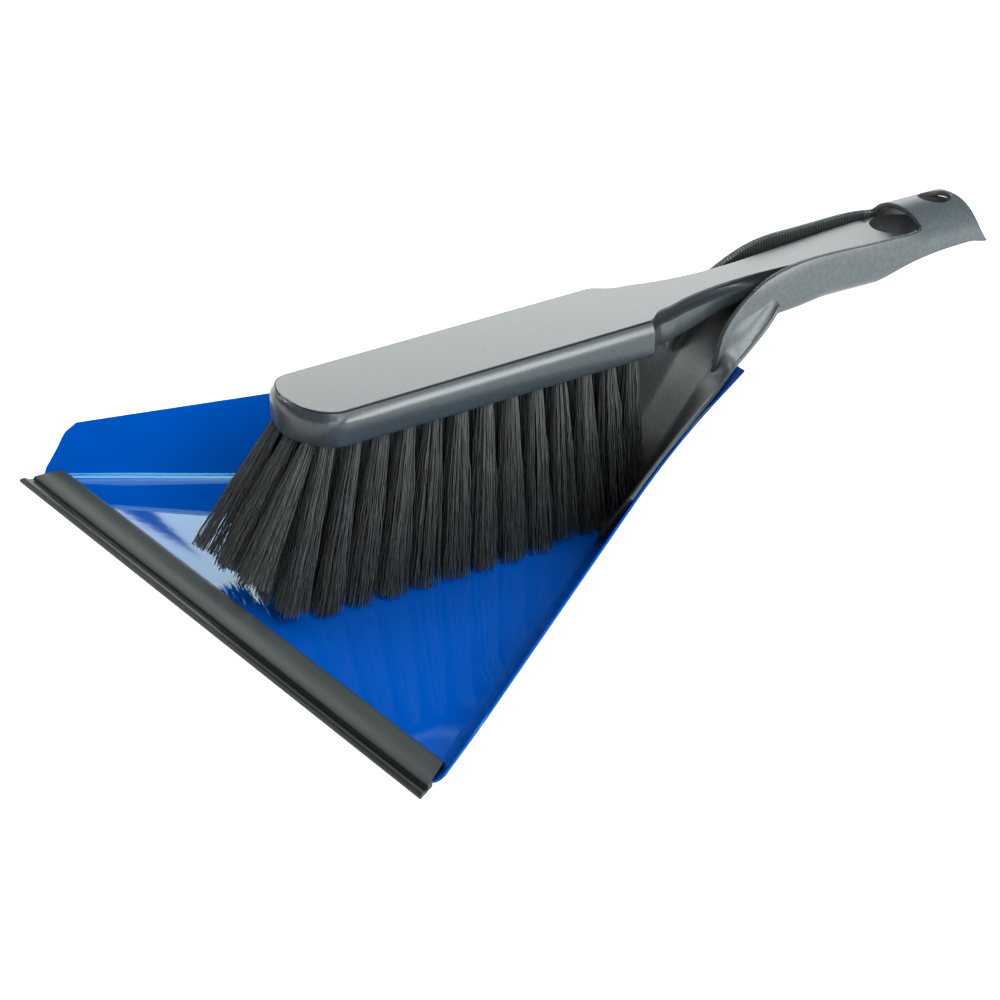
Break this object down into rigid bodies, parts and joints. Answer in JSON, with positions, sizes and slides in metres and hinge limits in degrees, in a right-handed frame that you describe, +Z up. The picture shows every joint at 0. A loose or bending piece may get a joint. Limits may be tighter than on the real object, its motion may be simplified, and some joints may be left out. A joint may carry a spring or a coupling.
{
  "type": "dustpan and brush set",
  "caption": "Folded sheet dustpan with a rubber lip and a hooded trough handle that stores a matching long-necked hand brush with tufted bristles.",
  "frame": {"origin": "centre of the bounding box's base, on the table under the set", "axes": "+Z up from the table, +Y from the rubber lip towards the handle's end, +X to the right of the middle plane"},
  "size_m": [0.2418, 0.306, 0.0734],
  "materials": {
    "pan_paint": "glossy blue stoving paint on thin steel sheet",
    "lip_rubber": "matt grey extruded rubber",
    "black_plastic": "satin-gloss black moulded polypropylene",
    "bristle": "black extruded bristle filament"
  },
  "bodies": {
    "pan": {"pan_sheet": "pan_paint", "rubber_lip": "lip_rubber", "pan_handle": "black_plastic"},
    "brush": {"brush_body": "black_plastic", "tuft_row1_01": "bristle", "tuft_row2_01": "bristle", "tuft_row3_01": "bristle", "tuft_row4_01": "bristle", "tuft_row1_02": "bristle", "tuft_row2_02": "bristle", "tuft_row3_02": "bristle", "tuft_row4_02": "bristle", "tuft_row1_03": "bristle", "tuft_row2_03": "bristle", "tuft_row3_03": "bristle", "tuft_row4_03": "bristle", "tuft_row1_04": "bristle", "tuft_row2_04": "bristle", "tuft_row3_04": "bristle", "tuft_row4_04": "bristle", "tuft_row1_05": "bristle", "tuft_row2_05": "bristle", "tuft_row3_05": "bristle", "tuft_row4_05": "bristle", "tuft_row1_06": "bristle", "tuft_row2_06": "bristle", "tuft_row3_06": "bristle", "tuft_row4_06": "bristle", "tuft_row1_07": "bristle", "tuft_row2_07": "bristle", "tuft_row3_07": "bristle", "tuft_row4_07": "bristle", "tuft_row1_08": "bristle", "tuft_row2_08": "bristle", "tuft_row3_08": "bristle", "tuft_row4_08": "bristle", "tuft_row1_09": "bristle", "tuft_row2_09": "bristle", "tuft_row3_09": "bristle", "tuft_row4_09": "bristle", "tuft_row1_10": "bristle", "tuft_row2_10": "bristle", "tuft_row3_10": "bristle", "tuft_row4_10": "bristle", "tuft_row1_11": "bristle", "tuft_row2_11": "bristle", "tuft_row3_11": "bristle", "tuft_row4_11": "bristle", "tuft_row1_12": "bristle", "tuft_row2_12": "bristle", "tuft_row3_12": "bristle", "tuft_row4_12": "bristle", "tuft_row1_13": "bristle", "tuft_row2_13": "bristle", "tuft_row3_13": "bristle", "tuft_row4_13": "bristle", "tuft_nose_1": "bristle", "tuft_nose_2": "bristle", "tuft_nose_3": "bristle"}
  },
  "joints": [
    {"name": "brush_lift", "type": "slide", "parent": "pan", "child": "brush", "axis": [0, -0.9781, 0.2079], "range_m": [0, 0.3]}
  ]
}
